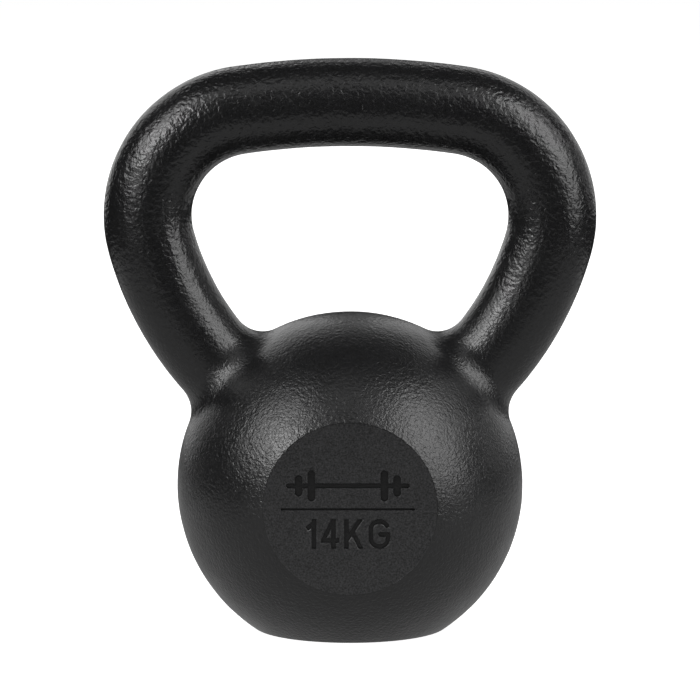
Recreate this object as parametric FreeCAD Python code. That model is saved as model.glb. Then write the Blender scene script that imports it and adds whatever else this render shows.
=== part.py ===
import FreeCAD, Part
import math
import os

# A 14 kg kettlebell: one pour of grey iron, a ball with a looped handle, under a textured powder coat.
# The frame: +Z up, the origin on the floor under the middle of the ball, the marked flat facing -Y.
# All sizes are in millimetres and degrees. Sizes of the casting are those of the bare iron.

# Ball
ball_diameter = 144.9
base_diameter = 79.3            # circle where the ball would meet the flat base, were its edge sharp
base_edge_radius = 2.5
front_flat_diameter = 72.9      # circle where the ball would meet the marked flat, were its edge sharp
front_edge_radius = 0.8

# Handle: one round bar bent along arcs, whose radii are those of its centreline
bar_diameter = 36.7
handle_width = 206.4            # over both corners
window_height = 71.4            # from the top of the ball to the underside of the grip
crown_radius = 320.0            # the slight arch of the grip
corner_radius = 44.9
horn_radius = 129.5
root_angle = 47.4               # where the horn's centreline enters the ball, from the vertical
root_fillet = 13.7
split_clearance = 8.0           # from the top of the root fillet up to where the handle's node begins

# Powder coat
coat = 0.25

# Marks sunk in the front flat, in the iron: the coat makes each one a little narrower
mark_depth = 1.1
marks_left_of_centre = 0.9
stroke_width = 2.3
letter_height = 12.9
letter_widths = {"1": 4.9, "4": 8.0, "K": 8.6, "G": 9.4}
letter_gap = 1.6
letters_below_centre = 10.5
rule_width = 1.3
rule_length = 56.4
rule_below_centre = 0.1
sign_length = 52.0
sign_above_centre = 9.8
sign_bar_width = 2.4
sign_first_plate = 15.2         # from the middle of the sign to the centreline of its innermost plates
sign_plate_pitch = 5.3
sign_plate_width = 3.6
sign_plate_heights = (13.6, 9.4)

# Worked out from the sizes above
ball_radius = ball_diameter / 2
bar_radius = bar_diameter / 2
centre_above_base = math.sqrt(ball_radius**2 - (base_diameter / 2) ** 2)
front_distance = math.sqrt(ball_radius**2 - (front_flat_diameter / 2) ** 2)
ball_centre = FreeCAD.Vector(0, 0, coat + centre_above_base)
overall = ball_diameter + window_height + bar_diameter + handle_width
X_AXIS = FreeCAD.Vector(1, 0, 0)
Y_AXIS = FreeCAD.Vector(0, 1, 0)
Z_AXIS = FreeCAD.Vector(0, 0, 1)


def on_arc(centre, radius, angle):
    """The point of an arc in the XZ plane, at an angle from the vertical towards +X."""
    turn = math.radians(angle)
    return centre + FreeCAD.Vector(radius * math.sin(turn), 0, radius * math.cos(turn))


def angle_to(centre, point):
    """The angle from the vertical towards +X at which centre sees point."""
    return math.degrees(math.atan2(point.x - centre.x, point.z - centre.z))


def crown_arc():
    """Centre and end angle of the grip's arc, which the corner's arc touches from inside."""
    grip_z = ball_centre.z + ball_radius + window_height + bar_radius
    centre = FreeCAD.Vector(0, 0, grip_z - crown_radius)
    corner_x = handle_width / 2 - bar_radius - corner_radius
    return centre, math.degrees(math.asin(corner_x / (crown_radius - corner_radius)))


def horn_centre(corner_centre, root):
    """Centre of the arc that passes through the root and touches the corner's arc from outside."""
    to_root = root - corner_centre
    between_centres = horn_radius - corner_radius
    along = (between_centres**2 - horn_radius**2 + to_root.Length**2) / (2 * to_root.Length)
    aside = math.sqrt(between_centres**2 - along**2)
    direction = to_root.normalize()
    return corner_centre + direction * along + FreeCAD.Vector(direction.z, 0, -direction.x) * aside


def right_half_arcs():
    """Each arc of the handle's right half: its centre, radius, first angle and last angle."""
    crown_centre, crown_end = crown_arc()
    corner_centre = on_arc(crown_centre, crown_radius - corner_radius, crown_end)
    root = on_arc(ball_centre, ball_radius, root_angle)
    horn = horn_centre(corner_centre, root)
    corner_end = angle_to(horn, corner_centre)
    sunk_in_ball = math.degrees(bar_radius / horn_radius)
    return [
        (crown_centre, crown_radius, 0, crown_end),
        (corner_centre, corner_radius, crown_end, corner_end),
        (horn, horn_radius, corner_end, angle_to(horn, root) + sunk_in_ball),
    ]


def bent_bar(arc, radius):
    centre, bend_radius, first, last = arc
    middle = on_arc(centre, bend_radius, 0)
    disc = Part.Face(Part.Wire(Part.makeCircle(radius, middle, X_AXIS)))
    bar = disc.revolve(centre, Y_AXIS, last - first)
    bar.rotate(centre, Y_AXIS, first)
    return bar


def handle_bar(grow):
    """The whole bar, both ends sunk in the ball, its surface set out from the iron by grow."""
    right = [bent_bar(arc, bar_radius + grow) for arc in right_half_arcs()]
    left = [bar.mirror(FreeCAD.Vector(), X_AXIS) for bar in right]
    return right[0].multiFuse(right[1:] + left)


def edge_in_plane(shape, point, normal):
    """The round edge that shape has in the plane through point."""
    for edge in shape.Edges:
        box = edge.BoundBox
        corners = [FreeCAD.Vector(box.XMin, box.YMin, box.ZMin), box.Center]
        if all(abs((corner - point).dot(normal)) < coat / 10 for corner in corners):
            return edge
    raise ValueError("the flat has no edge")


def flattened(ball, point, outward, edge_radius):
    """The ball cut off square by the plane through point, with its new edge rounded."""
    beyond = Part.makeCylinder(overall, overall, point, outward)
    ball = ball.cut(beyond)
    return ball.makeFillet(edge_radius, [edge_in_plane(ball, point, outward)])


def plain_ball(grow):
    """The ball with its base and its front flat, its surface set out from the iron by grow."""
    ball = Part.makeSphere(ball_radius + grow, ball_centre)
    ball.rotate(ball_centre, Z_AXIS, 90)  # takes the sphere's seam to the back
    base = FreeCAD.Vector(0, 0, coat - grow)
    front = ball_centre - Y_AXIS * (front_distance + grow)
    ball = flattened(ball, base, -Z_AXIS, base_edge_radius + grow)
    return flattened(ball, front, -Y_AXIS, front_edge_radius + grow)


def root_edges(whole, grow):
    """The edges where the surface of a horn meets that of the ball."""
    centre, bend_radius = right_half_arcs()[-1][:2]
    edges = []
    for edge in whole.Edges:
        middle = edge.valueAt((edge.FirstParameter + edge.LastParameter) / 2)
        from_bend = math.hypot(abs(middle.x) - centre.x, middle.z - centre.z) - bend_radius
        off_bar = math.hypot(from_bend, middle.y) - bar_radius - grow
        off_ball = (middle - ball_centre).Length - ball_radius - grow
        if max(abs(off_bar), abs(off_ball)) < coat / 10:
            edges.append(edge)
    return edges


def straight_stroke(start, end, width):
    """A round-ended stroke in the XZ plane, as a face."""
    along = (end - start).normalize() * (width / 2)
    aside = FreeCAD.Vector(-along.z, 0, along.x)
    return Part.Face(Part.Wire([
        Part.makeLine(start + aside, end + aside),
        Part.Arc(end + aside, end + along, end - aside).toShape(),
        Part.makeLine(end - aside, start - aside),
        Part.Arc(start - aside, start - along, start + aside).toShape(),
    ]))


def square_stroke(start, end, width):
    """A stroke in the XZ plane that runs on past both points by half its width, as a face."""
    along = (end - start).normalize() * (width / 2)
    aside = FreeCAD.Vector(-along.z, 0, along.x)
    corners = [start - along + aside, end + along + aside, end + along - aside, start - along - aside]
    return Part.Face(Part.makePolygon(corners + corners[:1]))


def letter_lines(letter):
    """Straight strokes of a letter, as shares of its width and height from its lower left corner."""
    return {
        "1": [((1, 0), (1, 1)), ((1, 0.94), (0.1, 0.76))],
        "4": [((0.74, 0), (0.74, 1)), ((0.66, 0.98), (0.06, 0.33)), ((0, 0.24), (1, 0.24))],
        "K": [((0, 0), (0, 1)), ((0.1, 0.33), (0.88, 1.04)), ((0.42, 0.57), (0.92, -0.04))],
    }[letter]


def letter_g(corner, width, height, pen):
    """The letter G drawn with a round pen in one go, as a face."""
    bend = width / 2
    shoulder = corner + FreeCAD.Vector(bend, 0, height - bend)
    bowl = corner + FreeCAD.Vector(bend, 0, bend)
    upper = [on_arc(shoulder, bend, angle) for angle in (60, -15, -90)]
    lower = [on_arc(bowl, bend, angle) for angle in (270, 180, 90)]
    bar_outer = corner + FreeCAD.Vector(width, 0, 0.48 * height)
    bar_inner = corner + FreeCAD.Vector(0.55 * width, 0, 0.48 * height)
    path = Part.Wire([
        Part.Arc(*upper).toShape(),
        Part.makeLine(upper[2], lower[0]),
        Part.Arc(*lower).toShape(),
        Part.makeLine(lower[2], bar_outer),
        Part.makeLine(bar_outer, bar_inner),
    ])
    return path.makeOffset2D(pen / 2, 0, True)


def letter_faces(letter, left, bottom, grow):
    width = letter_widths[letter] - stroke_width
    height = letter_height - stroke_width
    corner = FreeCAD.Vector(left + stroke_width / 2, 0, bottom + stroke_width / 2)
    pen = stroke_width - 2 * grow
    if letter == "G":
        return [letter_g(corner, width, height, pen)]
    inset = FreeCAD.Vector(-pen / 2, 0, -pen / 2)
    frame = Part.makePlane(width + pen, height + pen, corner + inset, -Y_AXIS, X_AXIS)
    faces = []
    for line in letter_lines(letter):
        start, end = [corner + FreeCAD.Vector(x * width, 0, z * height) for x, z in line]
        faces.append(square_stroke(start, end, pen).common(frame).Faces[0])
    return faces


def weight_mark(grow):
    word = "14KG"
    left = -(sum(letter_widths[letter] for letter in word) + letter_gap * (len(word) - 1)) / 2
    faces = []
    for letter in word:
        faces += letter_faces(letter, left, -letters_below_centre - letter_height / 2, grow)
        left += letter_widths[letter] + letter_gap
    return faces


def level_stroke(length, height, width):
    reach = (length - width) / 2
    return straight_stroke(FreeCAD.Vector(-reach, 0, height), FreeCAD.Vector(reach, 0, height), width)


def rule(grow):
    return [level_stroke(rule_length - 2 * grow, -rule_below_centre, rule_width - 2 * grow)]


def barbell_sign(grow):
    """A plain barbell: a bar with plates on each end that get smaller outwards."""
    faces = [level_stroke(sign_length - 2 * grow, sign_above_centre, sign_bar_width - 2 * grow)]
    for place, plate_height in enumerate(sign_plate_heights):
        x = sign_first_plate + place * sign_plate_pitch
        reach = FreeCAD.Vector(0, 0, (plate_height - sign_plate_width) / 2)
        for middle in (FreeCAD.Vector(x, 0, sign_above_centre), FreeCAD.Vector(-x, 0, sign_above_centre)):
            faces.append(straight_stroke(middle - reach, middle + reach, sign_plate_width - 2 * grow))
    return faces


def marks(grow):
    """What sinks the marks into the front flat, with its floor set out from the iron by grow."""
    depth = front_distance - mark_depth + grow
    floor = ball_centre - Y_AXIS * depth - X_AXIS * marks_left_of_centre
    cutters = []
    for face in weight_mark(grow) + rule(grow) + barbell_sign(grow):
        face.translate(floor)
        cutters.append(face.extrude(-Y_AXIS * (mark_depth + coat)))
    return cutters[0].multiFuse(cutters[1:])


def kettlebell(grow):
    """The whole casting as one solid, its surface set out from the iron by grow."""
    whole = plain_ball(grow).fuse(handle_bar(grow))
    whole = whole.makeFillet(root_fillet - grow, root_edges(whole, grow))
    return whole.cut(marks(grow))


def handle_space():
    """The space over two planes that cross the horns square, a little above their root fillets."""
    centre, bend_radius = right_half_arcs()[-1][:2]
    root = on_arc(ball_centre, ball_radius, root_angle)
    fillet_top = math.sqrt((ball_radius + root_fillet) ** 2 - (bar_radius + root_fillet) ** 2)
    up_the_horn = fillet_top - ball_radius + split_clearance
    turn = angle_to(centre, root) - math.degrees(up_the_horn / bend_radius)
    crossing = on_arc(centre, bend_radius, turn)
    fall = math.tan(math.radians(turn - 90))
    ridge = crossing.z + crossing.x * fall
    outline = [
        FreeCAD.Vector(-overall, -overall, overall + ridge),
        FreeCAD.Vector(-overall, -overall, ridge - overall * fall),
        FreeCAD.Vector(0, -overall, ridge),
        FreeCAD.Vector(overall, -overall, ridge - overall * fall),
        FreeCAD.Vector(overall, -overall, overall + ridge),
    ]
    over_planes = Part.Face(Part.makePolygon(outline + outline[:1])).extrude(Y_AXIS * (2 * overall))
    # In a low wide handle the planes meet above the grip, which belongs to the handle all the same.
    window_middle = ball_centre.z + ball_radius + window_height / 2
    corner = FreeCAD.Vector(-overall, -overall, window_middle)
    return over_planes.fuse(Part.makeBox(2 * overall, 2 * overall, overall, corner))


def front_disc():
    """A round bar that takes the coat of the front flat, up to where its edge begins to round."""
    radius = math.sqrt(
        (ball_radius - front_edge_radius) ** 2 - (front_distance - front_edge_radius) ** 2
    )
    start = ball_centre - Y_AXIS * (front_distance - 2 * mark_depth)
    return Part.makeCylinder(radius, overall, start, -Y_AXIS)


def base_disc():
    """The coat under the base, up to where the base's edge begins to round."""
    radius = math.sqrt(
        (ball_radius - base_edge_radius) ** 2 - (centre_above_base - base_edge_radius) ** 2
    )
    return Part.makeCylinder(radius, coat)


def pieces():
    iron = kettlebell(0)
    film = kettlebell(coat).cut(iron)
    return {
        "ball": iron.cut(handle_space()),
        "handle": iron.common(handle_space()),
        "powder_coat": film.cut(base_disc()).cut(front_disc()),
        "front_disc_coat": film.common(front_disc()),
        "base_coat": base_disc(),
    }


os.makedirs("parts", exist_ok=True)
for name, shape in pieces().items():
    shape.exportStep(f"parts/{name}.step")
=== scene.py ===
import math

import bmesh
import bpy
import numpy as np
from mathutils import Matrix, Vector, noise


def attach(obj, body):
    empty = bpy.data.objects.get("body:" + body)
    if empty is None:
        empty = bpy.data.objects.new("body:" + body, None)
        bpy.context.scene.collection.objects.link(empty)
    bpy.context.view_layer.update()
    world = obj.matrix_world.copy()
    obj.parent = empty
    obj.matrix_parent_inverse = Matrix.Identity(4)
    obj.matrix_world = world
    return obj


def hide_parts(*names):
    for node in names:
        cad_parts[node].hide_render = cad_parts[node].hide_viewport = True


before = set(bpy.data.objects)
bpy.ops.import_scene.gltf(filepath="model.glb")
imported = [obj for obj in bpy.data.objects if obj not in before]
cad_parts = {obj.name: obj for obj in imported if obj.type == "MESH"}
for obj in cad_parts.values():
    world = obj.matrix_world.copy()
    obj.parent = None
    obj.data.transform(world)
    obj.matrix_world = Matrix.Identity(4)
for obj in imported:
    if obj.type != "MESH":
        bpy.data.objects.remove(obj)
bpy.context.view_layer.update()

# Lengths are in metres and angles in radians. The frame is the CAD model's: +Z up, the origin on the
# floor under the ball, the marked flat facing -Y.
MM = 0.001
UP = Vector((0, 0, 1))
FORWARD = Vector((0, -1, 0))

# The casting's sizes, as the CAD model has them, and the thickness of the coat over it
COAT = 0.25 * MM
BALL_RADIUS = 72.45 * MM
BASE_CIRCLE = 39.65 * MM
BASE_EDGE = 2.5 * MM
FRONT_CIRCLE = 36.45 * MM
FRONT_EDGE = 0.8 * MM
BAR_RADIUS = 18.35 * MM
HANDLE_WIDTH = 206.4 * MM
WINDOW_HEIGHT = 71.4 * MM
CROWN_RADIUS = 320.0 * MM
CORNER_RADIUS = 44.9 * MM
HORN_RADIUS = 129.5 * MM
ROOT_ANGLE = math.radians(47.4)
ROOT_FILLET = 13.7 * MM

# Worked out from them: the skin is the outside of the coat
BASE_DEPTH = math.sqrt(BALL_RADIUS**2 - BASE_CIRCLE**2)
FRONT_DEPTH = math.sqrt(BALL_RADIUS**2 - FRONT_CIRCLE**2)
BALL_CENTRE = np.array([0.0, 0.0, COAT + BASE_DEPTH])
SKIN_BALL = BALL_RADIUS + COAT
SKIN_BAR = BAR_RADIUS + COAT
SKIN_FILLET = ROOT_FILLET - COAT

# The skin's mesh
BALL_SEGMENTS = 128
BAR_SEGMENTS = 64
BAR_STEP = 3 * MM
FACE_SIZE = 1.25 * MM
RELAX_ROUNDS = 12
FILLET_POINTS = 720
RIM_STEPS = 5
WAVE_LENGTH = 16 * MM
WAVE_DEPTH = 0.14 * MM
RIPPLE_LENGTH = 5.0 * MM
RIPPLE_DEPTH = 0.09 * MM
RELIEF_FADE = 6 * MM
DISC_RECESS = 1.7 * MM

# The marked disc: the sharp mouths of its marks are rounded, and painted shade darkens their floors
WELD = 0.002 * MM
FLAT_ENOUGH = math.radians(0.5)
MARK_ROUND = 0.5 * MM
SHARP_MOUTH = math.radians(60)
DISC_MARGIN = 1 * MM
PAINTED_SHADE_FROM = 0.40 * MM
PAINTED_SHADE_TO = 0.75 * MM

# The textured coat
BALL_WRINKLE = 1.3 * MM
BALL_WRINKLE_DEPTH = 0.13 * MM
HANDLE_WRINKLE = 2.0 * MM
HANDLE_WRINKLE_DEPTH = 0.18 * MM
BALL_ROUGHNESS = (0.28, 0.36)
HANDLE_ROUGHNESS = (0.23, 0.29)
GLOSS_PATCH = 14 * MM            # how far the gloss stays even
COAT_IOR = 1.5
PATTERN_LOW, PATTERN_HIGH = 0.3, 0.7
COAT_DARK = (0.006, 0.006, 0.0062)
COAT_LIGHT = (0.010, 0.010, 0.0105)


# ---------------------------------------------------------------- the handle's centreline


def polar(angle):
    """A unit direction in the XZ plane, at an angle from the vertical towards +X."""
    return np.array([math.sin(angle), math.cos(angle)])


def angle_to(start, end):
    return math.atan2(end[0] - start[0], end[1] - start[1])


def right_half_arcs():
    """Centre, radius, first and last angle of the crown, the corner and the horn, in the XZ plane."""
    ball = BALL_CENTRE[[0, 2]]
    grip_height = ball[1] + BALL_RADIUS + WINDOW_HEIGHT + BAR_RADIUS
    crown = np.array([0.0, grip_height - CROWN_RADIUS])
    inner = CROWN_RADIUS - CORNER_RADIUS
    crown_end = math.asin((HANDLE_WIDTH / 2 - BAR_RADIUS - CORNER_RADIUS) / inner)
    corner = crown + inner * polar(crown_end)
    root = ball + BALL_RADIUS * polar(ROOT_ANGLE)
    to_root = root - corner
    length = float(np.hypot(*to_root))
    between = HORN_RADIUS - CORNER_RADIUS
    along = (between**2 - HORN_RADIUS**2 + length**2) / (2 * length)
    aside = math.sqrt(between**2 - along**2)
    direction = to_root / length
    horn = corner + direction * along + np.array([direction[1], -direction[0]]) * aside
    corner_end = angle_to(horn, corner)
    horn_end = angle_to(horn, root) + BAR_RADIUS / HORN_RADIUS
    return [
        (crown, CROWN_RADIUS, 0.0, crown_end),
        (corner, CORNER_RADIUS, crown_end, corner_end),
        (horn, HORN_RADIUS, corner_end, horn_end),
    ]


ARCS = right_half_arcs()


# ---------------------------------------------------------------- the skin's exact surface


def nearest_on_centreline(points):
    """The nearest centreline points to points on the handle's right half."""
    flat = points[:, [0, 2]]
    best = np.full(len(points), np.inf)
    spots = np.zeros_like(points)
    for centre, radius, first, last in ARCS:
        offset = flat - centre
        angle = np.clip(np.arctan2(offset[:, 0], offset[:, 1]), first, last)
        spot = np.stack([
            centre[0] + radius * np.sin(angle),
            np.zeros(len(points)),
            centre[1] + radius * np.cos(angle),
        ], axis=1)
        distance = np.linalg.norm(points - spot, axis=1)
        closer = distance < best
        best[closer] = distance[closer]
        spots[closer] = spot[closer]
    return spots


def unit(vectors):
    return vectors / np.linalg.norm(vectors, axis=-1, keepdims=True)


def root_ring():
    """The path of a small ball's centre that rolls round the horn's root, touching horn and ball.

    Returns its points, their unit tangents and the centreline points that they are nearest to.
    """
    horn, radius, _, _ = ARCS[2]
    from_ball = horn - BALL_CENTRE[[0, 2]]
    reach = SKIN_BAR + SKIN_FILLET
    round_bar = np.linspace(0, 2 * math.pi, FILLET_POINTS, endpoint=False)
    out = radius + reach * np.cos(round_bar)
    side = reach * np.sin(round_bar)
    far = float(np.hypot(*from_ball))
    cosine = ((SKIN_BALL + SKIN_FILLET) ** 2 - far**2 - out**2 - side**2) / (2 * out * far)
    turn = math.atan2(from_ball[0], from_ball[1]) + np.arccos(cosine)
    ring = np.stack([horn[0] + out * np.sin(turn), side, horn[1] + out * np.cos(turn)], axis=1)
    spots = np.stack([
        horn[0] + radius * np.sin(turn), np.zeros(FILLET_POINTS), horn[1] + radius * np.cos(turn)
    ], axis=1)
    tangents = unit(np.roll(ring, -1, axis=0) - np.roll(ring, 1, axis=0))
    return ring, tangents, spots


RING, RING_TANGENTS, RING_SPOTS = root_ring()


def on_fillet(points):
    """Where points would lie on the root fillet, and which of them the fillet covers."""
    gaps = np.linalg.norm(points[:, None, :] - RING[None, :, :], axis=2)
    place = gaps.argmin(axis=1)
    tangent = RING_TANGENTS[place]
    along = np.sum((points - RING[place]) * tangent, axis=1, keepdims=True)
    centre = RING[place] + along * tangent
    to_point = unit(points - centre)
    to_ball = unit(BALL_CENTRE - centre)
    to_bar = unit(RING_SPOTS[place] - RING[place])
    middle = unit(to_ball + to_bar)
    covered = np.sum(to_point * middle, axis=1) > np.sum(to_ball * middle, axis=1)
    return centre + to_point * SKIN_FILLET, covered


def on_skin(points):
    """Points moved to the nearest place on the ball, the bar or the fillet between them."""
    side = np.where(points[:, :1] < 0, -1.0, 1.0)
    right = points * np.hstack([side, np.ones((len(points), 2))])
    to_point = right - BALL_CENTRE
    spots = nearest_on_centreline(right)
    off_ball = np.linalg.norm(to_point, axis=1) - SKIN_BALL
    off_bar = np.linalg.norm(right - spots, axis=1) - SKIN_BAR
    ball_side = (off_ball < off_bar)[:, None]
    moved = np.where(
        ball_side, BALL_CENTRE + unit(to_point) * SKIN_BALL, spots + unit(right - spots) * SKIN_BAR
    )
    near_root = np.flatnonzero((off_ball < SKIN_FILLET) & (off_bar < SKIN_FILLET))
    filleted, covered = on_fillet(right[near_root])
    moved[near_root[covered]] = filleted[covered]
    moved[:, :1] *= side
    return moved


# ---------------------------------------------------------------- making the skin


def bar_half(bm, side):
    """One half of the looped bar, from the middle of the grip into the ball."""
    centre, radius, _, _ = ARCS[0]
    start = Matrix.Translation((0, 0, centre[1] + radius)) @ Matrix.Rotation(math.pi / 2, 4, "Y")
    ring = bmesh.ops.create_circle(
        bm, segments=BAR_SEGMENTS, radius=SKIN_BAR, cap_ends=True, matrix=start
    )
    cap = ring["verts"][0].link_faces[0]
    geometry = [*cap.verts, *cap.edges, cap]
    for centre, radius, first, last in ARCS:
        swept = bmesh.ops.spin(
            bm, geom=geometry, cent=(side * centre[0], 0, centre[1]), axis=(0, side, 0),
            angle=last - first, steps=int(radius * (last - first) / BAR_STEP),
        )
        geometry = swept["geom_last"]


def mesh_object(name, bm):
    mesh = bpy.data.meshes.new(name)
    bm.to_mesh(mesh)
    bm.free()
    made = bpy.data.objects.new(name, mesh)
    bpy.context.scene.collection.objects.link(made)
    return made


def rough_casting():
    """Ball and bar run into each other, remeshed as one closed skin of even faces."""
    bm = bmesh.new()
    bmesh.ops.create_uvsphere(
        bm, u_segments=BALL_SEGMENTS, v_segments=BALL_SEGMENTS // 2, radius=SKIN_BALL,
        matrix=Matrix.Translation(BALL_CENTRE),
    )
    for side in (1, -1):
        bar_half(bm, side)
    bmesh.ops.recalc_face_normals(bm, faces=bm.faces)
    rough = mesh_object("rough_casting", bm)
    remesh = rough.modifiers.new("even faces", "REMESH")
    remesh.mode = "VOXEL"
    remesh.voxel_size = FACE_SIZE
    remesh.adaptivity = 0
    shown = rough.evaluated_get(bpy.context.evaluated_depsgraph_get())
    bm = bmesh.new()
    bm.from_mesh(shown.to_mesh())
    bpy.data.objects.remove(rough)
    return bm


def move_to_skin(bm):
    places = on_skin(np.array([v.co for v in bm.verts]))
    for vert, place in zip(bm.verts, places):
        vert.co = place


def relief(place):
    """How deep the skin lies under its true surface: slow waves of the casting, and ripples."""
    wave = noise.noise(place / WAVE_LENGTH) * 0.5 + 0.5
    ripple = noise.noise(place / RIPPLE_LENGTH) * 0.5 + 0.5
    return wave * WAVE_DEPTH + ripple * RIPPLE_DEPTH


def rim_distance(place):
    """How far a place is from the nearer of the two flats' planes."""
    return min(place.z, place.y + FRONT_DEPTH + COAT)


def add_relief(bm):
    bm.normal_update()
    depths = []
    for vert in bm.verts:
        fade = min(max(rim_distance(vert.co) / RELIEF_FADE, 0.0), 1.0)
        depths.append(relief(vert.co) * fade)
    for vert, depth in zip(bm.verts, depths):
        vert.co -= vert.normal * depth


def cut_flat(bm, outward, depth, edge, recess):
    """Cuts the ball off square, rounds the new edge and closes it with a recessed floor."""
    centre = Vector(BALL_CENTRE)
    small = SKIN_BALL - edge
    flat_radius = math.sqrt(small**2 - (depth - edge) ** 2)
    tilt = math.atan2(flat_radius, depth - edge)  # of the line from the ball's centre to the tangent
    begin = centre + outward * SKIN_BALL * math.cos(tilt)
    geometry = bm.verts[:] + bm.edges[:] + bm.faces[:]
    bmesh.ops.bisect_plane(bm, geom=geometry, plane_co=begin, plane_no=outward, clear_outer=True)
    rim_points = [v for v in bm.verts if v.is_boundary]
    bmesh.ops.remove_doubles(bm, verts=rim_points, dist=FACE_SIZE / 5)
    rim = [e for e in bm.edges if e.is_boundary]
    rings = [
        (flat_radius + edge * math.sin(turn), depth - edge + edge * math.cos(turn))
        for turn in np.linspace(tilt, 0, RIM_STEPS + 1)
    ]
    rings.append((flat_radius, depth - recess))
    for step, (radius, height) in enumerate(rings):
        if step:
            grown = bmesh.ops.extrude_edge_only(bm, edges=rim)["geom"]
            rim = [part for part in grown if isinstance(part, bmesh.types.BMEdge)]
        for vert in {v for e in rim for v in e.verts}:
            offset = vert.co - centre
            sideways = (offset - outward * offset.dot(outward)).normalized()
            vert.co = centre + sideways * radius + outward * height
    bmesh.ops.contextual_create(bm, geom=rim)


def on_disc_face(place):
    from_axis = math.hypot(place.x, place.z - BALL_CENTRE[2])
    return place.y < WELD - FRONT_DEPTH - COAT and from_axis < FRONT_CIRCLE - DISC_MARGIN


def make_marked_disc():
    """The finer coat of the marked flat, with the mouths of its marks rounded."""
    bm = bmesh.new()
    bm.from_mesh(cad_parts["front_disc_coat"].data)
    bmesh.ops.remove_doubles(bm, verts=bm.verts, dist=WELD)
    bmesh.ops.dissolve_limit(bm, angle_limit=FLAT_ENOUGH, verts=bm.verts, edges=bm.edges)
    mouths = [
        e for e in bm.edges
        if e.calc_face_angle(0) > SHARP_MOUTH and all(on_disc_face(v.co) for v in e.verts)
    ]
    bmesh.ops.bevel(
        bm, geom=mouths, offset=MARK_ROUND, segments=3, profile=0.5, affect="EDGES", material=-1,
        clamp_overlap=False,
    )
    disc = mesh_object("marked_disc_coat", bm)
    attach(disc, "root")
    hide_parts("front_disc_coat")
    return disc


def make_skin():
    bm = rough_casting()
    move_to_skin(bm)
    for _ in range(RELAX_ROUNDS):
        bmesh.ops.smooth_vert(
            bm, verts=bm.verts, factor=0.5, use_axis_x=True, use_axis_y=True, use_axis_z=True
        )
        move_to_skin(bm)
    add_relief(bm)
    cut_flat(bm, -UP, BASE_DEPTH + COAT, BASE_EDGE + COAT, COAT)
    cut_flat(bm, FORWARD, FRONT_DEPTH + COAT, FRONT_EDGE + COAT, DISC_RECESS)
    bmesh.ops.recalc_face_normals(bm, faces=bm.faces)
    for face in bm.faces:
        face.smooth = len(face.verts) <= 4  # only the floors under the two flats have more corners
    skin = mesh_object("coat_skin", bm)
    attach(skin, "root")
    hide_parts("powder_coat")
    return skin


# ---------------------------------------------------------------- finishes


def new_material(name):
    material = bpy.data.materials.new(name)
    material.use_nodes = True
    nodes = material.node_tree.nodes
    return material, nodes, material.node_tree.links, nodes["Principled BSDF"]


def pattern(nodes, links, place, length, detail=2.0, distortion=0.0):
    """A noise whose lumps are about length across."""
    texture = nodes.new("ShaderNodeTexNoise")
    texture.inputs["Scale"].default_value = 1 / length
    texture.inputs["Detail"].default_value = detail
    texture.inputs["Distortion"].default_value = distortion
    links.new(place.outputs["Object"], texture.inputs["Vector"])
    return texture.outputs["Fac"]


def spread(nodes, links, value, low, high):
    """A pattern's value stretched from low to high."""
    reach = nodes.new("ShaderNodeMapRange")
    reach.inputs["From Min"].default_value = PATTERN_LOW
    reach.inputs["From Max"].default_value = PATTERN_HIGH
    reach.inputs["To Min"].default_value = low
    reach.inputs["To Max"].default_value = high
    links.new(value, reach.inputs["Value"])
    return reach.outputs["Result"]


def tint(nodes, links, value, dark, light):
    ramp = nodes.new("ShaderNodeValToRGB")
    ramp.color_ramp.elements[0].position = PATTERN_LOW
    ramp.color_ramp.elements[0].color = (*dark, 1)
    ramp.color_ramp.elements[1].position = PATTERN_HIGH
    ramp.color_ramp.elements[1].color = (*light, 1)
    links.new(value, ramp.inputs["Fac"])
    return ramp.outputs["Color"]


def bump(nodes, links, height, depth, before=None):
    bumps = nodes.new("ShaderNodeBump")
    bumps.inputs["Strength"].default_value = 1.0
    bumps.inputs["Distance"].default_value = depth
    links.new(height, bumps.inputs["Height"])
    if before is not None:
        links.new(before, bumps.inputs["Normal"])
    return bumps.outputs["Normal"]


def painted_mark_shade(nodes, links, place, value):
    """A value on the flat round the marks, which falls to 0 on their floors: painted shade in the
    recesses.
    """
    split = nodes.new("ShaderNodeSeparateXYZ")
    links.new(place.outputs["Object"], split.inputs["Vector"])
    # painted shade: 1 on the flat, falling to 0 with depth into the marks
    painted_shade_mask = nodes.new("ShaderNodeMapRange")
    painted_shade_mask.inputs["From Min"].default_value = PAINTED_SHADE_FROM - FRONT_DEPTH - COAT
    painted_shade_mask.inputs["From Max"].default_value = PAINTED_SHADE_TO - FRONT_DEPTH - COAT
    painted_shade_mask.inputs["To Min"].default_value = 1.0
    painted_shade_mask.inputs["To Max"].default_value = 0.0
    links.new(split.outputs["Y"], painted_shade_mask.inputs["Value"])
    product = nodes.new("ShaderNodeMath")
    product.operation = "MULTIPLY"
    links.new(value, product.inputs[0])
    links.new(painted_shade_mask.outputs["Result"], product.inputs[1])
    return product.outputs["Value"]


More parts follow.
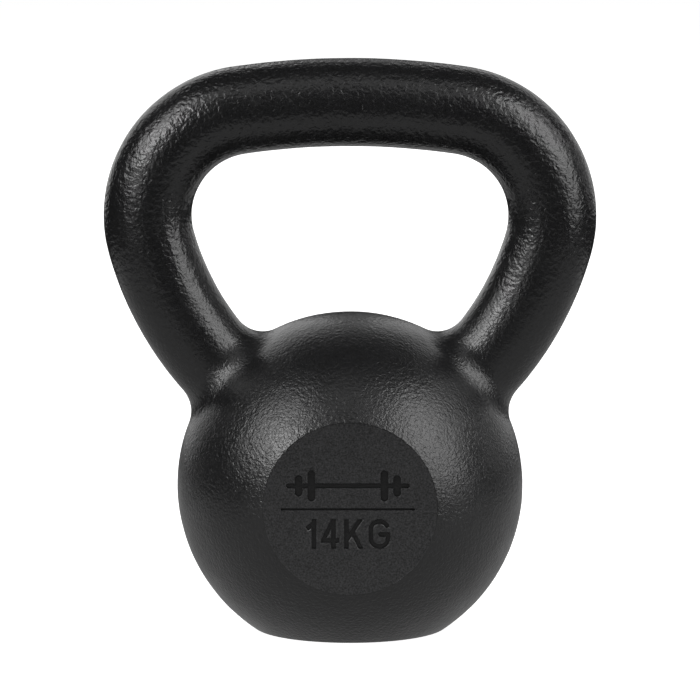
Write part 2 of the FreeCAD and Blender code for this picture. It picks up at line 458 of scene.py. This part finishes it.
def powder_finish(name, grain, grain_depth, wrinkle, wrinkle_depth, roughness, dark, light=None):
    """Baked powder: fine grain over slower wrinkles, a little uneven in gloss.

    Given a light shade too, it speckles the grain from dark to light everywhere but in the marks, whose
    floors get the dark shade as painted shade.
    """
    material, nodes, links, shader = new_material(name)
    place = nodes.new("ShaderNodeTexCoord")
    fine = pattern(nodes, links, place, grain, detail=1.5, distortion=0.4)
    slow = pattern(nodes, links, place, wrinkle, detail=2.0, distortion=0.8)
    patches = pattern(nodes, links, place, GLOSS_PATCH, detail=3.0)
    normal = bump(nodes, links, slow, wrinkle_depth)
    normal = bump(nodes, links, fine, grain_depth, normal)
    links.new(normal, shader.inputs["Normal"])
    links.new(spread(nodes, links, patches, *roughness), shader.inputs["Roughness"])
    if light is None:
        shader.inputs["Base Color"].default_value = (*dark, 1)
    else:
        # the floors of the marks are painted dark, as shade
        shade = painted_mark_shade(nodes, links, place, fine)
        links.new(tint(nodes, links, shade, dark, light), shader.inputs["Base Color"])
    shader.inputs["IOR"].default_value = COAT_IOR
    return material


def mixed(nodes, links, share, first, second):
    """One pattern that turns into another as share goes from 0 to 1."""
    mix = nodes.new("ShaderNodeMix")
    links.new(share, mix.inputs["Factor"])
    links.new(first, mix.inputs["A"])
    links.new(second, mix.inputs["B"])
    return mix.outputs["Result"]


def textured_powder():
    """The wrinkled coat, finer and duller on the ball, coarser and glossier on the handle."""
    material, nodes, links, shader = new_material("textured_powder_coat")
    place = nodes.new("ShaderNodeTexCoord")
    split = nodes.new("ShaderNodeSeparateXYZ")
    links.new(place.outputs["Object"], split.inputs["Vector"])
    climb = nodes.new("ShaderNodeMapRange")
    climb.inputs["From Min"].default_value = BALL_CENTRE[2] + BALL_RADIUS / 2
    climb.inputs["From Max"].default_value = BALL_CENTRE[2] + BALL_RADIUS + WINDOW_HEIGHT / 2
    links.new(split.outputs["Z"], climb.inputs["Value"])
    share = climb.outputs["Result"]
    fine = pattern(nodes, links, place, BALL_WRINKLE, detail=1.2, distortion=0.6)
    coarse = pattern(nodes, links, place, HANDLE_WRINKLE, detail=1.6, distortion=0.4)
    wrinkles = mixed(
        nodes, links, share,
        spread(nodes, links, fine, 0, BALL_WRINKLE_DEPTH),
        spread(nodes, links, coarse, 0, HANDLE_WRINKLE_DEPTH),
    )
    links.new(bump(nodes, links, wrinkles, 1.0), shader.inputs["Normal"])
    patches = pattern(nodes, links, place, GLOSS_PATCH, detail=3.0)
    roughness = mixed(
        nodes, links, share,
        spread(nodes, links, patches, *BALL_ROUGHNESS),
        spread(nodes, links, patches, *HANDLE_ROUGHNESS),
    )
    links.new(roughness, shader.inputs["Roughness"])
    links.new(tint(nodes, links, fine, COAT_DARK, COAT_LIGHT), shader.inputs["Base Color"])
    shader.inputs["IOR"].default_value = COAT_IOR
    return material


def iron_finish():
    """Bare grey iron as cast and shot blasted, under the coat."""
    material, nodes, links, shader = new_material("bare_iron")
    place = nodes.new("ShaderNodeTexCoord")
    pits = pattern(nodes, links, place, 1.5 * MM, detail=4.0)
    patches = pattern(nodes, links, place, 20 * MM, detail=3.0)
    links.new(bump(nodes, links, pits, 0.15 * MM), shader.inputs["Normal"])
    links.new(spread(nodes, links, pits, 0.55, 0.75), shader.inputs["Roughness"])
    links.new(tint(nodes, links, patches, (0.16, 0.16, 0.165), (0.25, 0.25, 0.25)),
              shader.inputs["Base Color"])
    shader.inputs["Metallic"].default_value = 1.0
    return material


def give(piece, material):
    piece.data.materials.clear()
    piece.data.materials.append(material)


# ---------------------------------------------------------------- the studio

CAMERA_ELEVATION = math.radians(9.2)
CAMERA_DISTANCE = 6.0
VIEW_WIDTH = 0.294          # that the picture shows at the object
VIEW_CENTRE = Vector((0, 0, 0.1179))
SENSOR_WIDTH = 36           # in millimetres, as the camera takes it
SWEEP_RADIUS = 9.0
PAPER_GREY = 0.8
PAPER_GLOW = 0.9
ROOM_LIGHT = 0.01
GLOW_RADIUS = 0.5           # of the lit paper under the object
GLOW_RADIANCE = 0.46
GLOW_HEIGHT = 0.1 * MM
PANEL_DISTANCE = 1.5
# Name, azimuth and elevation in degrees, width, height and radiance of each panel
PANELS = (
    ("left_softbox", -50, 26, 0.5, 0.5, 11.8),
    ("left_softbox_side", -72, 27, 0.5, 0.5, 4.2),
    ("left_softbox_top", -62, 46, 0.65, 0.5, 4.2),
    ("left_softbox_foot", -42, 6, 0.9, 0.4, 1.4),
    ("right_softbox", 60, 25, 1.0, 0.5, 5.0),
    ("right_softbox_top", 62, 46, 0.65, 0.5, 5.8),
    ("right_softbox_foot", 66, 6, 0.8, 0.4, 3.5),
    ("right_side", 95, 35, 0.5, 0.7, 1.6),
    ("right_far", 120, 8, 0.6, 0.5, 0.6),
    ("front_right", 28, 35, 0.5, 0.8, 0.9),
    ("front_top", 0, 64, 1.2, 0.7, 0.7),
    ("back_left", -155, 17, 1.0, 1.2, 1.1),
    ("back_middle", 180, 35, 0.6, 0.9, 0.3),
    ("back_right", 155, 17, 1.0, 1.2, 0.8),
)


def make_camera():
    data = bpy.data.cameras.new("camera")
    data.sensor_width = SENSOR_WIDTH
    data.lens = data.sensor_width * CAMERA_DISTANCE / VIEW_WIDTH
    data.clip_end = 100
    camera = bpy.data.objects.new("camera", data)
    bpy.context.scene.collection.objects.link(camera)
    back = Vector((0, -math.cos(CAMERA_ELEVATION), math.sin(CAMERA_ELEVATION)))
    camera.location = VIEW_CENTRE + back * CAMERA_DISTANCE
    camera.rotation_euler = (-back).to_track_quat("-Z", "Y").to_euler()
    bpy.context.scene.camera = camera


def panel(name, azimuth, elevation, width, height, radiance):
    """An evenly lit panel that faces the object, azimuth counted from the front towards +X."""
    data = bpy.data.lights.new(name, "AREA")
    data.shape = "RECTANGLE"
    data.size = width
    data.size_y = height
    data.energy = radiance * math.pi * width * height
    light = bpy.data.objects.new(name, data)
    bpy.context.scene.collection.objects.link(light)
    turn = math.radians(azimuth)
    climb = math.radians(elevation)
    direction = Vector((
        math.sin(turn) * math.cos(climb), -math.cos(turn) * math.cos(climb), math.sin(climb)
    ))
    light.location = VIEW_CENTRE + direction * PANEL_DISTANCE
    light.rotation_euler = direction.to_track_quat("Z", "Y").to_euler()
    light.visible_camera = False


def floor_glow(name, radius, radiance):
    """What the lit paper near the object gives back, as a round light that lies on it."""
    data = bpy.data.lights.new(name, "AREA")
    data.shape = "DISK"
    data.size = 2 * radius
    data.energy = radiance * math.pi * math.pi * radius**2
    light = bpy.data.objects.new(name, data)
    bpy.context.scene.collection.objects.link(light)
    light.location = (0, 0, GLOW_HEIGHT)
    light.rotation_euler = (math.pi, 0, 0)
    light.visible_camera = False


def make_sweep():
    """Pale paper under and round the object, which is lit but adds no light of its own to it."""
    bm = bmesh.new()
    bmesh.ops.create_cone(bm, segments=128, radius1=SWEEP_RADIUS, radius2=SWEEP_RADIUS,
                          depth=SWEEP_RADIUS, cap_ends=True, cap_tris=False,
                          matrix=Matrix.Translation((0, 0, SWEEP_RADIUS / 2)))
    bmesh.ops.reverse_faces(bm, faces=bm.faces)
    sweep = mesh_object("paper_sweep", bm)
    sweep.visible_diffuse = False
    sweep.visible_glossy = False
    material, nodes, links, shader = new_material("paper")
    shader.inputs["Base Color"].default_value = (PAPER_GREY, PAPER_GREY, PAPER_GREY, 1)
    shader.inputs["Roughness"].default_value = 0.9
    shader.inputs["Specular IOR Level"].default_value = 0.0
    shader.inputs["Emission Color"].default_value = (1, 1, 1, 1)
    shader.inputs["Emission Strength"].default_value = PAPER_GLOW
    give(sweep, material)


def make_studio():
    world = bpy.data.worlds.new("studio")
    world.use_nodes = True
    background = world.node_tree.nodes["Background"]
    background.inputs["Color"].default_value = (1, 1, 1, 1)
    background.inputs["Strength"].default_value = ROOM_LIGHT
    bpy.context.scene.world = world
    bpy.context.scene.view_settings.view_transform = "Standard"
    for values in PANELS:
        panel(*values)
    floor_glow("floor_glow", GLOW_RADIUS, GLOW_RADIANCE)
    make_sweep()


make_camera()
make_studio()
skin = make_skin()
give(skin, textured_powder())
disc = make_marked_disc()
# The disc's dark shade is also the painted shade on the floors of its marks
give(disc, powder_finish(
    "fine_powder_coat", grain=0.7 * MM, grain_depth=0.10 * MM, wrinkle=2.0 * MM, wrinkle_depth=0.03 * MM,
    roughness=(0.33, 0.40), dark=(0.003, 0.003, 0.0031), light=(0.036, 0.036, 0.037),
))
give(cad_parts["base_coat"], powder_finish(
    "base_powder_coat", grain=0.8 * MM, grain_depth=0.06 * MM, wrinkle=2.4 * MM, wrinkle_depth=0.05 * MM,
    roughness=(0.5, 0.6), dark=(0.012, 0.012, 0.0125),
))
iron = iron_finish()
give(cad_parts["ball"], iron)
give(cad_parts["handle"], iron)
